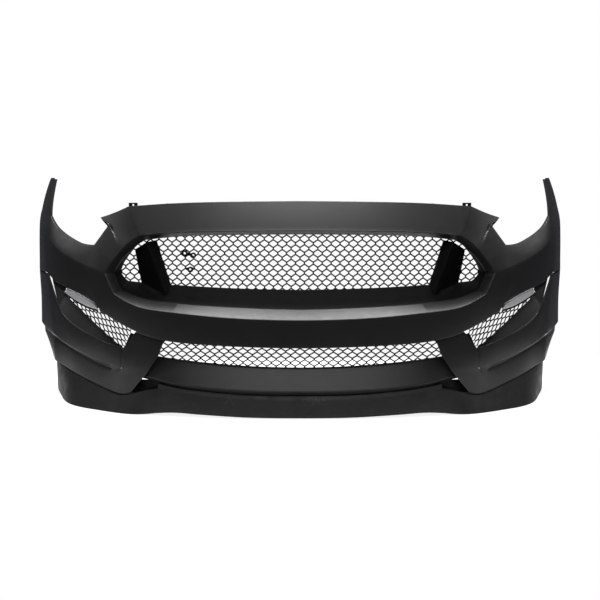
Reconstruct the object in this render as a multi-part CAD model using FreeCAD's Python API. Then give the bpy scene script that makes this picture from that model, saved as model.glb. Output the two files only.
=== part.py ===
import FreeCAD, Part
import math
import os
from FreeCAD import Vector

# Front bumper cover of a sports coupe. Millimetres, +X to the car's left side as seen from the
# front, the nose faces -Y, +Z up. The whole outside follows one envelope: a superellipse plan
# whose half width tapers a little above and below the shoulder.
HALF_WIDTH = 950.0
SHOULDER_Z = 490.0
TAPER_ABOVE = 8.8e-4
TAPER_BELOW = 2.7e-4
SIDE_RUN = 625.0
NOSE_Y = 15.0
PLAN_POWER = 2.5
MID_Y = 283.5

# Wall thicknesses of the moulded parts, and of the narrow flanges along their free edges.
SKIN = 3.5
PANEL_T = 3.0
VALANCE_T = 3.0
LIP_T = 4.0
DUCT_T = 2.0
HOUSING_T = 2.2
LENS_T = 3.0
TRAY_T = 1.6
BRACKET_T = 2.5
FLANGE = 22.0
HOOD_DROP = Vector(0, 6, -8)
HOOD_FLANGE = Vector(0, 28, 0)
BAR_FLANGE = Vector(0, 15, 0)
REAR_FLANGE = Vector(-14, 0, 0)
CROWN = 3.0
GROOVE_DEPTH = 8.0

# Chin lip: gap under the valance, where its step ends and how far its rear wall stands up.
LIP_GAP = 1.2
LIP_STEP_X = 495.0
LIP_STEP_DEPTH = 32.0
LIP_SHELF = 24.0
LIP_RISE = 43.0
VALANCE_END_X = 528.0
LIP_SCREW_X = (90.0, 250.0, 390.0)
LIP_HOLE_R = 2.8
LIP_SCREW_R = 2.4
SCREW_HEAD_R = 5.5
SCREW_LENGTH = 24.0
NUT_SIZE = (16.0, 14.0, 4.0)
UNDERTRAY_HOLE = Vector(170, 50, 9)
UNDERTRAY_R = 3.5

# Expanded mesh: sheet thickness, bend of each grille and its lattice as pitch, row height,
# straight link, strand width and tilt in degrees.
MESH_T = 2.6
UPPER_MESH_Y = 145.0
UPPER_MESH_R = 3000.0
UPPER_LATTICE = (28.3, 15.5, 6.0, 4.4)
LOWER_MESH_Y = 80.0
LOWER_MESH_R = 2500.0
LOWER_LATTICE = (30.0, 12.0, 3.2, 4.2)
DUCT_LATTICE = (32.0, 11.5, 6.0, 4.2, 38.0)
DUCT_CORNER = Vector(545, 125, 0)
DUCT_ALONG = Vector(0.782, 0.623, 0)
DUCT_NORMAL = Vector(0.623, -0.782, 0)
MESH_GAP = 0.6
DUCT_GAP = 2.4
LOWER_MESH_GAP = 0.8

# Rim of the upper grille housing and its rivets.
RIM = 38.0
RIM_MARGIN = 12.0
WINDOW_CORE_X = 470.0
WINDOW_CORE_Z = 474.0
RIVET_LINE = 31.0
RIVET_R = 2.1
RIVET_PLAY = 0.3
RIVET_HEAD_R = 4.2
RIVET_BULB_R = 3.6
RIVET_X = (0.0, 230.0, 430.0)

# Push-pin retainers along the hood edge, and the bolted tabs at its corners.
RETAINER_X_Y_Z = ((170.0, 151.0, 661.7), (420.0, 170.0, 655.6))
RETAINER_HOLE_R = 4.4
BARREL_R = 4.0
COLLAR_R = 9.0
PIN_BORE_R = 3.1
PIN_R = 3.0
PIN_HEAD_R = 6.5
TAB_X = 534.0
TAB_Y = 184.0
TAB_Z = 650.0
TAB_SIZE = (28.0, 3.0, 14.0)
TAB_HOLE_R = 3.2

# Ring bosses that carry the badge.
BOSS_R = 9.0
BOSS_BORE_R = 4.2
BOSS_LENGTH = 12.0


def half_width(z):
    """Half width of the envelope at height z."""
    taper = TAPER_ABOVE if z > SHOULDER_Z else TAPER_BELOW
    return HALF_WIDTH - taper * (z - SHOULDER_Z) ** 2


def inward(x, y, z):
    """Unit normal of the envelope's plan, pointing into the car."""
    across = (x / half_width(z)) ** (PLAN_POWER - 1.0) / half_width(z)
    along = max(1.0 - (y - NOSE_Y) / SIDE_RUN, 0.0) ** (PLAN_POWER - 1.0) / SIDE_RUN
    return Vector(-across, along, 0).normalize()


def side(y, z, inset=0.0):
    """Point of the envelope at a given y and height, moved inwards by inset."""
    share = (1.0 - (y - NOSE_Y) / SIDE_RUN) ** PLAN_POWER
    x = half_width(z) * (1.0 - share) ** (1.0 / PLAN_POWER)
    return Vector(x, y, z) + inward(x, y, z) * inset


def rail(points, count):
    """Evenly spaced points on a smooth curve through the given ones."""
    if len(points) == 2:
        step = (points[1] - points[0]) / (count - 1)
        return [points[0] + step * i for i in range(count)]
    curve = Part.BSplineCurve()
    curve.interpolate(points)
    return curve.discretize(Number=count)


def chain(*rails):
    """Several rails end to end, without repeating the points where they meet."""
    joined = list(rails[0])
    for piece in rails[1:]:
        joined += piece[1:]
    return joined


def blend(rail_a, rail_b, share, bulge=0.0):
    """Rail between two others, pushed out of the envelope by bulge."""
    rows = []
    for a, b in zip(rail_a, rail_b):
        middle = a + (b - a) * share
        rows.append(middle - inward(middle.x, middle.y, middle.z) * bulge)
    return rows


def mirrored(patch):
    """Patch on the other side of the car."""
    return [[Vector(-p.x, p.y, p.z) for p in row] for row in patch]


def knots(count, degree):
    """Uniform clamped knots and their multiplicities for a number of poles."""
    inner = count - degree - 1
    return [float(i) for i in range(inner + 2)], [degree + 1] + [1] * inner + [degree + 1]


def spline_face(rows):
    """Face of a spline surface with the rows as its net of poles."""
    u_degree = min(3, len(rows) - 1)
    v_degree = min(3, len(rows[0]) - 1)
    u_knots, u_mults = knots(len(rows), u_degree)
    v_knots, v_mults = knots(len(rows[0]), v_degree)
    surface = Part.BSplineSurface()
    surface.buildFromPolesMultsKnots(rows, u_mults, v_mults, u_knots, v_knots, False, False,
                                     u_degree, v_degree)
    return surface.toShape()


def key(p):
    """Hashable name of a point, so that shared points are found."""
    return round(p.x, 3), round(p.y, 3), round(p.z, 3)


def borders(patch):
    """The four sides of a patch, in order round it."""
    top = patch[0]
    right = [row[-1] for row in patch]
    bottom = patch[-1][::-1]
    left = [row[0] for row in patch][::-1]
    return [top, right, bottom, left]


def oriented(patches):
    """Patches turned so that all of them face the same way as the first."""
    done = [patches[0]]
    waiting = list(patches[1:])
    edges = {tuple(key(p) for p in side) for side in borders(patches[0])}
    while waiting:
        for patch in waiting:
            sides = [tuple(key(p) for p in side) for side in borders(patch)]
            same = any(side in edges for side in sides)
            facing = any(side[::-1] in edges for side in sides)
            if same or facing:
                break
        waiting.remove(patch)
        if same and not facing:
            patch = [row[::-1] for row in patch]
        done.append(patch)
        edges |= {tuple(key(p) for p in side) for side in borders(patch)}
    return done


def offsets(patches, thickness):
    """Inner point for every outer point, found from the faces that meet there."""
    normals = {}
    for patch in patches:
        for i in range(len(patch) - 1):
            for j in range(len(patch[0]) - 1):
                a, b, c, d = patch[i][j], patch[i][j + 1], patch[i + 1][j + 1], patch[i + 1][j]
                normal = (c - a).cross(d - b)
                if normal.Length < 1e-6:
                    continue
                normal.normalize()
                for corner in (a, b, c, d):
                    normals.setdefault(key(corner), []).append(normal)
    inner = {}
    for name, around in normals.items():
        total = Vector(0, 0, 0)
        for normal in around:
            total += normal
        total.normalize()
        lean = sum(total.dot(normal) for normal in around) / len(around)
        inner[name] = total * (thickness / max(lean, 0.5))
    return inner


def whole_car(patches):
    """Patches of one side and their mirror images; those that reach the middle become one."""
    both = []
    for patch in patches:
        if all(abs(row[-1].x) < 1e-6 for row in patch):
            both.append([row + [Vector(-p.x, p.y, p.z) for p in row[-2::-1]] for row in patch])
        else:
            both += [patch, mirrored(patch)]
    return both


def thick_sheet(patches, thickness, into=Vector(0, 1, 0)):
    """Closed solid: the patches, a copy offset by the thickness, and the free edges between.

    The offset goes to the side of the first patch that faces into.
    """
    patches = oriented(patches)
    shift = offsets(patches, thickness)
    if shift[key(patches[0][0][0])].dot(into) < 0:
        shift = offsets(patches, -thickness)
    faces = []
    count = {}
    for patch in patches:
        for side in borders(patch):
            name = frozenset((tuple(key(p) for p in side), tuple(key(p) for p in side[::-1])))
            count[name] = count.get(name, 0) + 1
    for patch in patches:
        faces.append(spline_face(patch))
        faces.append(spline_face([[p + shift[key(p)] for p in row] for row in patch]))
        for side in borders(patch):
            name = frozenset((tuple(key(p) for p in side), tuple(key(p) for p in side[::-1])))
            if count[name] == 1:
                faces.append(spline_face([side, [p + shift[key(p)] for p in side]]))
    sewn = Part.Compound(faces)
    sewn.sewShape()
    solid = Part.Solid(sewn.Shells[0] if sewn.Shells else sewn)
    if solid.Volume < 0:
        solid.reverse()
    return solid


def export(node, shape):
    """Write one node, moved so that the origin is under the middle of the cover."""
    placed = shape.copy()
    placed.translate(Vector(0, -MID_Y, 0))
    placed.exportStep("parts/%s.step" % node)


def at(*points):
    """Vectors from plain coordinates."""
    return [Vector(*p) for p in points]


RETAINERS = at(*RETAINER_X_Y_Z) + [Vector(-x, y, z) for x, y, z in RETAINER_X_Y_Z]


def surround_outer():
    """Outer edge of the upper grille's surround, sector by sector, from the middle outwards."""
    return {
        "top": rail(at((500, 121, 563), (407, 113, 575), (217, 96, 580), (0, 90, 582)), 7),
        "bend": rail(at((500, 121, 563), (527, 122, 551), (545, 119, 535)), 4),
        "corner": rail(at((545, 119, 535), (564, 117, 514)), 3),
        "cheek": rail(at((564, 117, 514), (591, 112, 481)), 4),
        "tip": rail(at((591, 112, 481), (614, 110, 445)), 3),
        "heel": rail(at((614, 110, 445), (600, 103, 413), (584, 97, 380)), 4),
        "base": rail(at((584, 97, 380), (546, 83, 352), (394, 44, 329), (200, 20, 313),
                        (0, 15, 308)), 9),
    }


def surround_inner():
    """Inner edge of the surround, where the opening of the upper grille begins."""
    return {
        "top": rail(at((490, 142, 547), (410, 135, 558), (277, 119, 564), (0, 110, 567)), 7),
        "bend": rail(at((490, 142, 547), (512, 142, 536), (530, 141, 520)), 4),
        "corner": rail(at((530, 141, 520), (557, 139, 494)), 3),
        "cheek": rail(at((557, 139, 494), (576, 137, 470)), 4),
        "tip": rail(at((576, 137, 470), (593, 134, 441)), 3),
        "heel": rail(at((593, 134, 441), (583, 135, 409), (567, 131, 386)), 4),
        "base": rail(at((567, 131, 386), (522, 115, 366), (394, 84, 353), (218, 61, 343),
                        (0, 55, 336)), 9),
    }


def outline():
    """Outer boundary of the bridge, the beak and the middle bar, with the same sectors."""
    return {
        "top": rail(at((544, 167, 654), (428, 151, 663), (188, 131, 669), (0, 130, 671)), 7),
        "bend": rail(at((544, 167, 654), (593, 180, 632), (645, 204, 617)), 4),
        "corner": rail(at((645, 204, 617), (608, 167, 598)), 3),
        "cheek": rail(at((608, 167, 598), (632, 160, 564), (657, 156, 530)), 4),
        "tip": rail(at((657, 156, 530), (677, 141, 461)), 3),
        "heel": rail(at((677, 141, 461), (672, 136, 400), (650, 132, 352), (634, 128, 320)), 4),
        "base": rail(at((634, 128, 320), (604, 115, 304), (522, 85, 261), (454, 67, 241),
                        (278, 37, 227), (0, 25, 219)), 9),
    }


LAMP_EDGE = at((634, 128, 320), (647, 133, 349), (701, 162, 370), (762, 204, 389), (808, 245, 402),
               (851, 291, 431))
HEADLIGHT_EDGE = at((657, 156, 530), (671, 162, 525), (697, 177, 529), (721, 192, 539),
                    (776, 236, 565), (814, 274, 591), (834, 300, 620))
CREASE = at((677, 141, 461), (731, 174, 480), (789, 219, 508), (837, 269, 543), (858, 302, 553))


def moved(points, vector):
    """The same points moved by one vector."""
    return [p + vector for p in points]


def tucked(points, vector):
    """The same points moved, with the sideways part fading out at the middle of the car."""
    return [p + Vector(vector.x * min(p.x / 100.0, 1.0), vector.y, vector.z) for p in points]


def ring_patches():
    """Bridge, beak, surround and middle bar of one side."""
    outer = surround_outer()
    inner = surround_inner()
    edge = outline()
    patches = []
    for sector in outer:
        patches.append([outer[sector], blend(outer[sector], edge[sector], 0.5, CROWN), edge[sector]])
        patches.append([inner[sector], outer[sector]])
        patches.append([inner[sector], moved(inner[sector], Vector(0, FLANGE, 0))])
    drop = moved(edge["top"], HOOD_DROP)
    patches += [[edge["top"], drop], [drop, moved(drop, HOOD_FLANGE)]]
    patches.append([edge["cheek"], moved(edge["cheek"], Vector(0, 25, 0))])
    patches.append([edge["base"], moved(edge["base"], BAR_FLANGE)])
    return patches


def shoulder_patches():
    """Side of the skin, from the surround to the fender seam, the horn and the wheel arch."""
    edge = outline()
    headlight = rail(HEADLIGHT_EDGE, 7)
    crease = rail(CREASE, 7)
    lamp = rail(LAMP_EDGE, 7)
    belt = [headlight[-1], Vector(836, 345, 634), Vector(876, 420, 644), side(488, 640)]
    belt[1], belt[2] = side(350, 626, 8), side(420, 634, 2)
    crease_rear = [crease[-1], side(365, 572), side(435, 592), side(505, 612)]
    bottom_rear = [lamp[-1], side(370, 431), side(450, 431), side(533, 431)]
    tip = [Vector(822, 330, 742), Vector(836, 352, 745), Vector(848, 375, 747), side(398, 748)]
    upper_front = [headlight, blend(headlight, crease, 0.5, 4.0), crease]
    upper_front[1][0] = edge["tip"][1]
    lower_front = [crease, blend(crease, lamp, 0.33, 3.0), blend(crease, lamp, 0.67, 2.0), lamp]
    lower_front[1][0], lower_front[2][0] = edge["heel"][1], edge["heel"][2]
    upper_rear = [belt, blend(belt, crease_rear, 0.5, 3.0), crease_rear]
    upper_rear[1][0] = upper_front[1][-1]
    lower_rear = [crease_rear, [lower_front[1][-1], side(370, 525), side(460, 545), side(555, 555)],
                  [lower_front[2][-1], side(380, 480), side(480, 490), side(590, 500)], bottom_rear]
    horn = [tip, blend(tip, belt, 0.35), blend(tip, belt, 0.7), belt]
    horn[1][-1], horn[2][-1] = side(430, 715), side(463, 676)
    horn[1][0], horn[2][0] = Vector(829, 318, 702), Vector(835, 306, 655)
    patches = [upper_front, lower_front, upper_rear, lower_rear, horn]
    patches.append([headlight, moved(headlight, Vector(0, 25, 0))])
    patches.append([lamp, moved(lamp, BAR_FLANGE)])
    patches.append([bottom_rear, moved(bottom_rear, REAR_FLANGE)])
    for patch in (upper_rear, lower_rear, horn):
        rear = [row[-1] for row in patch]
        patches.append([rear, moved(rear, REAR_FLANGE)])
    horn_edge = [row[0] for row in horn]
    patches.append([horn_edge, moved(horn_edge, Vector(-2, 18, 0))])
    return patches


def bumper_skin():
    """The moulded fascia in one piece, with holes in the hood flange for the retainers."""
    skin = thick_sheet(whole_car(ring_patches() + shoulder_patches()), SKIN)
    return skin.cut(columns(RETAINERS, RETAINER_HOLE_R))


def columns(centres, radius, length=60.0, axis=Vector(0, 0, 1)):
    """Cylinders of one radius, each centred on one of the points."""
    pins = [Part.makeCylinder(radius, length, centre - axis * (length / 2), axis)
            for centre in centres]
    return Part.Compound(pins)


def both_sides(points):
    """Points of one side and their mirror images."""
    return list(points) + [Vector(-p.x, p.y, p.z) for p in points]


def prism(corners, y_from, y_to):
    """Prism along Y on a polygon given as x and z."""
    loop = [Vector(x, y_from, z) for x, z in corners]
    return Part.Face(Part.makePolygon(loop + [loop[0]])).extrude(Vector(0, y_to - y_from, 0))


def inside(corners, x, z):
    """True when a point lies inside a polygon."""
    odd = False
    for (x1, z1), (x2, z2) in zip(corners, corners[1:] + corners[:1]):
        if (z1 > z) != (z2 > z) and x < (x2 - x1) * (z - z1) / (z2 - z1) + x1:
            odd = not odd
    return odd


def cell_corners(x, z, pitch, row, link, wire):
    """Open six-sided cell of expanded mesh, between the middles of its strands."""
    rise = row - link
    half = (pitch - wire) / 2
    slope = rise / (pitch / 2)
    top = link / 2 + rise - wire / 2 * math.hypot(1, slope)
    shoulder = top - half * slope
    return [(x + half, z + shoulder), (x, z + top), (x - half, z + shoulder),
            (x - half, z - shoulder), (x, z - top), (x + half, z - shoulder)]


def cells(region, pitch, row, link, wire, tilt=0.0):
    """All whole cells of the mesh inside a region, in rows that are offset by half a pitch."""
    reach = max(abs(value) for corner in region for value in corner)
    middle_x = sum(x for x, z in region) / len(region)
    middle_z = sum(z for x, z in region) / len(region)
    found = []
    rows = int(reach / row) + 2
    across = int(reach / pitch) + 2
    cos, sin = math.cos(math.radians(tilt)), math.sin(math.radians(tilt))
    for i in range(-rows, rows + 1):
        for j in range(-across, across + 1):
            corners = []
            for x, z in cell_corners((j + 0.5 * (i % 2)) * pitch, i * row, pitch, row, link, wire):
                corners.append((middle_x + x * cos - z * sin, middle_z + x * sin + z * cos))
            if all(inside(region, x, z) for x, z in corners):
                found.append(corners)
    return found


def dish_y(x, front_y, radius):
    """Front face of a grille bent to a radius about a vertical axis."""
    return front_y + radius - math.sqrt(radius ** 2 - x ** 2)


def bent_grille(sheet, region, front_y, radius, lattice):
    """Perforated sheet bent to a radius."""
    centre = Vector(0, front_y + radius, 0)
    outer = Part.makeCylinder(radius, 800, centre)
    ring = outer.cut(Part.makeCylinder(radius - MESH_T, 800, centre))
    blank = ring.common(prism(sheet, front_y - 20, front_y + 120))
    holes = [prism(corners, front_y - 10, front_y + 110) for corners in cells(region, *lattice)]
    return blank.cut(Part.Compound(holes))


def upper_opening():
    """Edge of the upper mesh's window, sector by sector, as x and z."""
    def edge(*points):
        return [Vector(x, dish_y(x, UPPER_MESH_Y, UPPER_MESH_R) - MESH_GAP, z) for x, z in points]
    return {
        "top": rail(edge((502, 544), (410, 556), (277, 561), (0, 564)), 7),
        "bend": rail(edge((502, 544), (520, 533), (534, 519)), 4),
        "corner": rail(edge((534, 519), (554, 494)), 3),
        "cheek": rail(edge((554, 494), (571, 470)), 4),
        "tip": rail(edge((571, 470), (582, 443)), 3),
        "heel": rail(edge((582, 443), (574, 424), (556, 412)), 4),
        "base": rail(edge((556, 412), (500, 406), (414, 402), (250, 394), (0, 388)), 9),
    }


def grown(points, distance):
    """Points of the upper window moved outwards from its long middle line."""
    moved_out = []
    for p in points:
        core = max(min(p.x, WINDOW_CORE_X), -WINDOW_CORE_X)
        away = Vector(p.x - core, 0, p.z - WINDOW_CORE_Z)
        away.normalize()
        x, z = p.x + away.x * distance, p.z + away.z * distance
        moved_out.append(Vector(x, dish_y(x, UPPER_MESH_Y, UPPER_MESH_R) - MESH_GAP, z))
    return moved_out


def window_loop(distance):
    """The upper window's outline grown by a distance, all round, as x and z."""
    sectors = [grown(sector, distance) for sector in upper_opening().values()]
    half = chain(sectors[0][::-1], *sectors[1:])
    return [(p.x, p.z) for p in half] + [(-p.x, p.z) for p in half[-2:0:-1]]


def rivet_spots():
    """Rivets of the upper mesh, along the top and the bottom of its rim."""
    spots = []
    for sector in ("top", "base"):
        points = grown(upper_opening()[sector], RIVET_LINE)
        for x in RIVET_X:
            spot = Vector(x, dish_y(x, UPPER_MESH_Y, UPPER_MESH_R), height_at(points, x))
            spots += [spot] if x == 0 else both_sides([spot])
    return spots


def height_at(points, x):
    """Height of a rail at a given x."""
    ordered = sorted(points, key=lambda p: p.x)
    for a, b in zip(ordered, ordered[1:]):
        if a.x <= x <= b.x:
            return a.z + (b.z - a.z) * (x - a.x) / (b.x - a.x)
    return ordered[-1].z


def upper_grille_housing():
    """Recess between the surround and the upper mesh, with a rim that the mesh is riveted to."""
    inner = surround_inner()
    patches = []
    for sector, window in upper_opening().items():
        patches.append([moved(inner[sector], Vector(0, FLANGE + MESH_GAP, 0)), window])
        patches.append([window, grown(window, RIM)])
    housing = thick_sheet(whole_car(patches), HOUSING_T, Vector(0, 0, 1))
    return housing.cut(columns(rivet_spots(), RIVET_R + RIVET_PLAY, 60.0, Vector(0, 1, 0)))


def upper_grille_mesh():
    """Expanded mesh of the upper opening."""
    grille = bent_grille(window_loop(RIM), window_loop(RIM - RIM_MARGIN), UPPER_MESH_Y,
                         UPPER_MESH_R, UPPER_LATTICE)
    return grille.cut(columns(rivet_spots(), RIVET_R + RIVET_PLAY, 60.0, Vector(0, 1, 0)))


def mesh_rivets():
    """Blind rivets through the housing's rim and the mesh."""
    rivets = []
    for spot in rivet_spots():
        start = Vector(spot.x, spot.y - 5.4, spot.z)
        shank = Part.makeCylinder(RIVET_R, 14.0, start, Vector(0, 1, 0))
        head = Part.makeCylinder(RIVET_HEAD_R, 1.6, start - Vector(0, 1.6, 0), Vector(0, 1, 0))
        bulb = Part.makeCylinder(RIVET_BULB_R, 4.0, start + Vector(0, 10.2, 0), Vector(0, 1, 0))
        rivets.append(shank.fuse([head, bulb]))
    return Part.Compound(rivets)


def lower_grille_mesh():
    """Expanded mesh of the lower opening."""
    half = [(0, 244), (278, 252), (420, 262), (492, 268), (492, 150), (430, 146), (291, 134),
            (0, 122)]
    sheet = half + [(-x, z) for x, z in half[-2:0:-1]]
    region = [(x * 0.99, 195 + (z - 195) * 0.95) for x, z in sheet]
    return bent_grille(sheet, region, LOWER_MESH_Y, LOWER_MESH_R, LOWER_LATTICE)


def lower_grille_frame():
    """Shelf from the bar's flange back to the lower mesh, with a rim that holds the mesh."""
    front_rail = []
    back_rail = []
    for p in outline()["base"]:
        if p.x < 480:
            front_rail.append(p + Vector(0, 18, 0.6))
            mesh_y = dish_y(p.x, LOWER_MESH_Y, LOWER_MESH_R) - LOWER_MESH_GAP
            back_rail.append(Vector(p.x, mesh_y, p.z + 3))
    rim = moved(back_rail, Vector(0, 0, 18))
    return thick_sheet(whole_car([[front_rail, back_rail], [back_rail, rim]]), HOUSING_T,
                       Vector(0, 0, 1))


def valance_rails():
    """Ledge, top edge, front ridge, under edge and under flange of the lower valance."""
    def mesh_side(x, z):
        return Vector(x, dish_y(x, LOWER_MESH_Y, LOWER_MESH_R) - LOWER_MESH_GAP, z)
    top = rail(at((VALANCE_END_X, 134, 185), (500, 124, 183), (446, 104, 176), (291, 73, 161),
                  (146, 62, 152), (0, 60, 149)), 11)
    ridge = rail(at((VALANCE_END_X, 127, 128), (500, 110, 124), (465, 84, 118), (430, 64, 113),
                    (287, 33, 100), (144, 22, 92), (0, 20, 90)), 11)
    under = rail(at((VALANCE_END_X, 136, 108), (500, 119, 107), (465, 94, 101), (430, 74, 96),
                    (290, 43, 82), (146, 32, 73), (0, 30, 72)), 11)
    ledge = [mesh_side(p.x, p.z + 1) for p in top]
    rim = [mesh_side(p.x, p.z - 18) for p in top]
    return rim, ledge, top, ridge, under, tucked(under, Vector(-6, 45, 2))


def valance_patches():
    """Bar, ledge and flanges of the valance, of one side."""
    rim, ledge, top, ridge, under, tail = valance_rails()
    return [[top, ridge], [ridge, under], [under, tail], [ledge, top], [rim, ledge]]


def lower_valance():
    """Wide spoiler bar under the lower mesh."""
    bar = thick_sheet(whole_car(valance_patches()), VALANCE_T)
    return bar.cut(columns(lip_screw_spots(), LIP_HOLE_R))


def lip_screw_spots():
    """Screws that hold the lip under the valance."""
    spots = []
    for x in LIP_SCREW_X:
        y = 50.0 + 42.0 * (x / 390.0) ** 2
        spots.append(Vector(x, y, 75.0))
    return both_sides(spots)


def lip_rails():
    """Top edge, bottom edge and the inner edge of the lip's foot."""
    top = rail(at((868, 450, 128), (848, 352, 119), (808, 294, 110), (738, 224, 92),
                  (662, 171, 72), (590, 133, 49), (550, 113, 49), (505, 82, 74), (440, 60, 83),
                  (288, 33, 70), (145, 22, 62), (0, 20, 60)), 20)
    bottom = rail(at((876, 452, 14), (860, 400, 3), (829, 333, 0), (783, 225, 0), (748, 182, 0),
                     (660, 128, 0), (524, 64, 0), (478, 57, 1), (440, 49, 12), (338, 29, 11),
                     (158, 8, 5), (0, 5, 4)), 20)
    foot = rail(at((826, 452, 14), (812, 400, 3), (778, 345, 0), (728, 262, 0), (690, 222, 0),
                   (622, 180, 0), (505, 122, 0), (465, 112, 1), (425, 106, 12), (330, 88, 11),
                   (158, 70, 5), (0, 67, 4)), 20)
    for p in bottom + foot:
        p.z = max(p.z, 0.0)
    return top, bottom, foot


def wall_top(p, under):
    """Top of the lip's rear wall over a point of its shelf, clear of the valance above."""
    height = p.z + LIP_RISE
    if p.x < VALANCE_END_X + 10.0:
        height = min(height, height_at(under, p.x) - 2 * LIP_GAP)
    return Vector(p.x, p.y, height)


def lip_patches():
    """Face, foot and upper flanges of the lip, of one side.

    In the middle the flange steps up under the valance; further out it stands up behind the
    corner panel, so that no light comes through.
    """
    top, bottom, foot = lip_rails()
    waist = blend(top, bottom, 0.5, 2.0)
    start = sum(1 for p in top if p.x > LIP_STEP_X)
    under = valance_rails()[4]
    inner, outer = top[start:], top[:start + 1]
    step = [Vector(p.x, p.y + 8, height_at(under, p.x) - LIP_GAP) for p in inner]
    shelf = [p + inward(p.x, p.y, p.z) * LIP_SHELF for p in outer]
    return [[row[:start + 1] for row in (top, waist, bottom)],
            [row[start:] for row in (top, waist, bottom)],
            [bottom[:start + 1], foot[:start + 1]], [bottom[start:], foot[start:]],
            [inner, step], [step, moved(step, Vector(0, LIP_STEP_DEPTH, 0))],
            [outer, shelf], [shelf, [wall_top(p, under) for p in shelf]]]


def chin_lip():
    """Front splitter, from the middle round to both wheel arches."""
    lip = thick_sheet(whole_car(lip_patches()), LIP_T)
    return lip.cut([columns(lip_screw_spots(), LIP_HOLE_R, 50.0),
                    columns(both_sides([UNDERTRAY_HOLE]), UNDERTRAY_R, 30.0)])


def lip_screws():
    """Screws from below, through the lip's flange and the valance."""
    under = valance_rails()[4]
    screws = []
    for spot in lip_screw_spots():
        low = height_at(under, abs(spot.x)) - LIP_GAP - LIP_T - 0.6
        head = Part.makeCylinder(SCREW_HEAD_R, 3.0, Vector(spot.x, spot.y, low - 3.0))
        shank = Part.makeCylinder(LIP_SCREW_R, SCREW_LENGTH, Vector(spot.x, spot.y, low))
        screws.append(head.fuse(shank))
    return Part.Compound(screws)


def lip_nuts():
    """Clip nuts on top of the valance's under flange."""
    under = valance_rails()[4]
    nuts = []
    for spot in lip_screw_spots():
        low = height_at(under, abs(spot.x)) + 6.4
        corner = Vector(spot.x - NUT_SIZE[0] / 2, spot.y - NUT_SIZE[1] / 2, low)
        block = Part.makeBox(*NUT_SIZE, corner)
        nuts.append(block.cut(columns([spot], LIP_HOLE_R, 80.0)))
    return Part.Compound(nuts)


def corner_patches():
    """L shaped panel round the side duct: pillar, stepped arm and the side up to the arch."""
    shelf = rail(at((424, 72, 236.5), (454, 80, 239), (490, 88, 246.5), (521, 97, 257.5)), 4)
    elbow = rail(at((443, 73, 189), (500, 88, 192), (564, 106, 204)), 4)
    waist = rail(at((472, 80, 146), (520, 95, 142), (571, 112, 140)), 4)
    step = rail(at((487, 86, 125), (540, 103, 119), (588, 124, 116)), 4)
    toe = rail(at((538, 106, 65), (558, 113, 55), (585, 127, 54)), 4)
    duct = rail(at((564, 106, 204), (602, 122, 214), (670, 156, 236), (744, 203, 266),
                   (784, 234, 293), (808, 256, 322), (825, 272, 369), (845, 289, 421)), 9)
    upper_line = rail(at((571, 112, 140), (639, 144, 153), (730, 200, 181), (800, 262, 202),
                         (840, 305, 221)), 9)
    lower_line = rail(at((588, 124, 116), (643, 155, 128), (696, 187, 146), (754, 229, 167),
                         (797, 270, 181), (841, 311, 192)), 9)
    hem = rail(at((585, 127, 54), (662, 165, 78), (738, 218, 98), (808, 289, 115),
                  (842, 320, 124)), 9)
    shoulder = [duct[-1], side(370, 427), side(450, 429), side(531, 429)]
    belt = [upper_line[-1], side(365, 229, 4), side(420, 233, 0), side(475, 237, -12)]
    groove = [lower_line[-1], side(370, 197, 8), side(425, 201, 4), side(478, 204, -6)]
    sill = [hem[-1], side(375, 127, 8), side(432, 129, 6), side(488, 130, 4)]
    arm = [duct, blend(duct, upper_line, 0.5, 3.0), upper_line]
    flank = [shoulder, blend(shoulder, belt, 0.5, 3.0), belt]
    flank[1][0] = arm[1][-1]
    flank[1][-1] = side(480, 325)
    knee = [elbow, blend(elbow, waist, 0.5, 1.0), waist]
    knee[1][-1] = arm[1][0]
    shin = blend(waist, step, 0.5)
    valley = blend(upper_line, lower_line, 0.4, -GROOVE_DEPTH)
    valley[0] = shin[-1]
    trough = blend(belt, groove, 0.5, -0.6 * GROOVE_DEPTH)
    trough[0] = valley[-1]
    front_parts = [[shelf, elbow], knee, [waist, shin], [shin, step], [step, toe]]
    rear_parts = [flank, [belt, trough], [trough, groove], [groove, sill]]
    patches = front_parts + [arm, [upper_line, valley], [valley, lower_line], [lower_line, hem]]
    patches += rear_parts
    patches.append([duct, moved(duct, Vector(0, 14, 0))])
    patches.append([shelf, moved(shelf, Vector(0, 24, 0))])
    patches.append([hem, moved(hem, Vector(-3, 12, 0))])
    patches.append([toe, moved(toe, Vector(-3, 12, 0))])
    patches.append([sill, moved(sill, REAR_FLANGE)])
    patches.append([shoulder, moved(shoulder, REAR_FLANGE)])
    for patch in rear_parts:
        rear = [row[-1] for row in patch]
        patches.append([rear, moved(rear, REAR_FLANGE)])
    for patch in front_parts:
        lead = [row[0] for row in patch]
        patches.append([lead, moved(lead, Vector(3, 6, 0))])
    return patches


def corner_panel():
    """Moulded corner panel."""
    return thick_sheet(corner_patches(), PANEL_T)


def blade_patches():
    """Folded blade in front of the upper mesh."""
    heel = rail(at((533, 188, 514), (523, 187, 455), (513, 182, 408)), 4)
    ridge = rail(at((484, 133, 541), (453, 127, 455), (424, 121, 376)), 4)
    toe = rail(at((458, 168, 546), (434, 162, 470), (412, 157, 401)), 4)
    return [[heel, ridge], [ridge, toe]]


def grille_blade():
    """Moulded blade."""
    return thick_sheet(blade_patches(), PANEL_T)


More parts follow.
